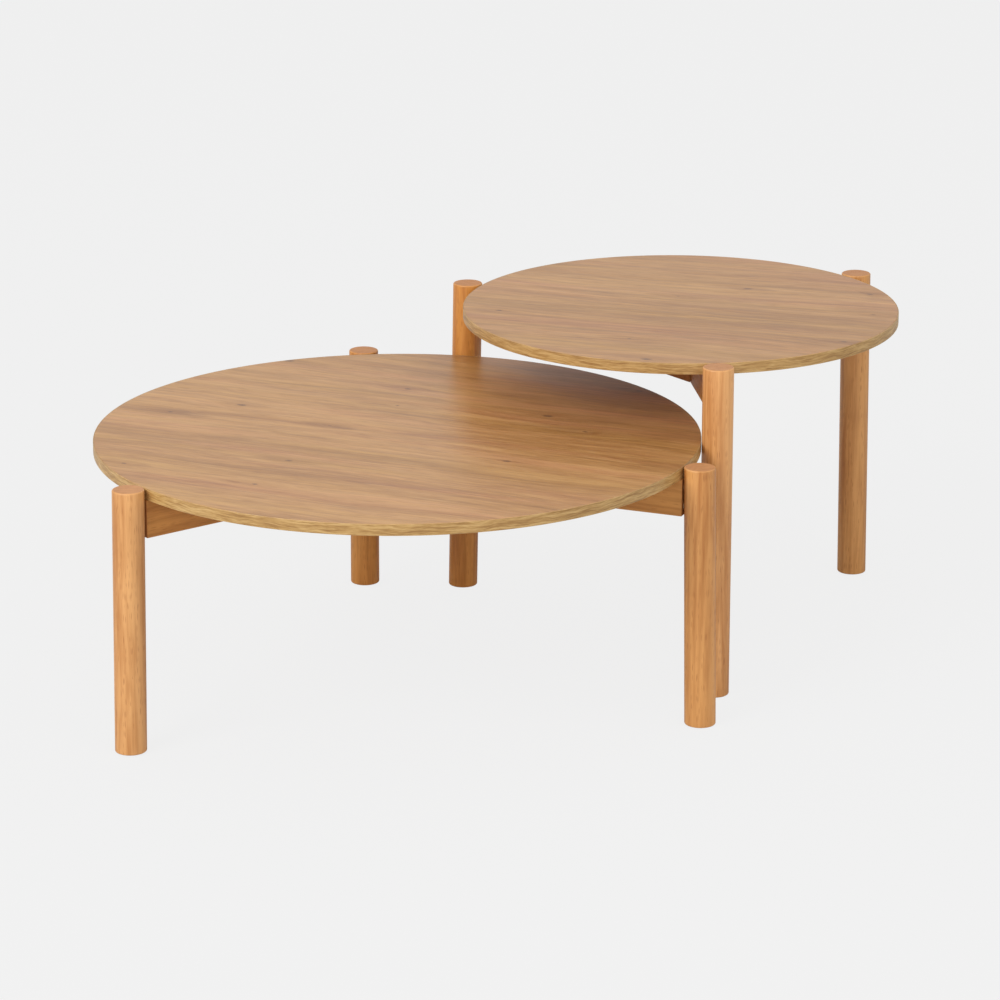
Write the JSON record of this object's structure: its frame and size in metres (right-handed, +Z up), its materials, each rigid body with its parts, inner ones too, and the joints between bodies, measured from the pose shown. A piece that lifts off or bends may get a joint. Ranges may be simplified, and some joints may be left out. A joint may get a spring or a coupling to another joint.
{
  "type": "nesting tables",
  "caption": "Two round nesting coffee tables in oak laminate with round wooden legs outside the rim; the taller small one reaches over the low large one.",
  "frame": {"origin": "on the floor, at the middle of the two tables' bounding box in the nested place", "axes": "+X runs from the large table's centre to the small table's, the way they pull apart; +Z is up"},
  "size_m": [1.274, 0.8, 0.45],
  "materials": {
    "oak_laminate": "matt laminate with a printed oak grain",
    "oak_banding": "matt oak-grain edge band",
    "leg_wood": "satin clear lacquer on warm hardwood",
    "rail_wood": "satin clear lacquer on warm hardwood",
    "dowel_wood": "raw beech",
    "screw_steel": "zinc plated",
    "insert_brass": "machined brass",
    "glide_nylon": "dark moulded nylon"
  },
  "bodies": {
    "large_table": {"large_top_board": "oak_laminate", "large_edge_band": "oak_banding", "large_leg_1": "leg_wood", "large_leg_2": "leg_wood", "large_leg_3": "leg_wood", "large_rail_1": "rail_wood", "large_rail_2": "rail_wood", "large_rail_3": "rail_wood", "large_brace_1": "rail_wood", "large_brace_2": "rail_wood", "large_brace_3": "rail_wood", "large_foot_glide_1": "glide_nylon", "large_foot_glide_2": "glide_nylon", "large_foot_glide_3": "glide_nylon", "large_lower_dowel_1": "dowel_wood", "large_lower_dowel_2": "dowel_wood", "large_lower_dowel_3": "dowel_wood", "large_upper_dowel_1": "dowel_wood", "large_upper_dowel_2": "dowel_wood", "large_upper_dowel_3": "dowel_wood", "large_rail_screw_1": "screw_steel", "large_rail_screw_2": "screw_steel", "large_rail_screw_3": "screw_steel", "large_brace_screw_1": "screw_steel", "large_brace_screw_2": "screw_steel", "large_brace_screw_3": "screw_steel", "large_top_insert_1": "insert_brass", "large_top_insert_2": "insert_brass", "large_top_insert_3": "insert_brass"},
    "small_table": {"small_top_board": "oak_laminate", "small_edge_band": "oak_banding", "small_leg_1": "leg_wood", "small_leg_2": "leg_wood", "small_leg_3": "leg_wood", "small_rail_1": "rail_wood", "small_rail_2": "rail_wood", "small_rail_3": "rail_wood", "small_brace_1": "rail_wood", "small_brace_2": "rail_wood", "small_brace_3": "rail_wood", "small_foot_glide_1": "glide_nylon", "small_foot_glide_2": "glide_nylon", "small_foot_glide_3": "glide_nylon", "small_lower_dowel_1": "dowel_wood", "small_lower_dowel_2": "dowel_wood", "small_lower_dowel_3": "dowel_wood", "small_upper_dowel_1": "dowel_wood", "small_upper_dowel_2": "dowel_wood", "small_upper_dowel_3": "dowel_wood", "small_rail_screw_1": "screw_steel", "small_rail_screw_2": "screw_steel", "small_rail_screw_3": "screw_steel", "small_brace_screw_1": "screw_steel", "small_brace_screw_2": "screw_steel", "small_brace_screw_3": "screw_steel", "small_top_insert_1": "insert_brass", "small_top_insert_2": "insert_brass", "small_top_insert_3": "insert_brass"}
  },
  "joints": [
    {"name": "nest_slide", "type": "slide", "parent": "large_table", "child": "small_table", "axis": [1, 0, 0], "range_m": [0, 0.35]}
  ]
}
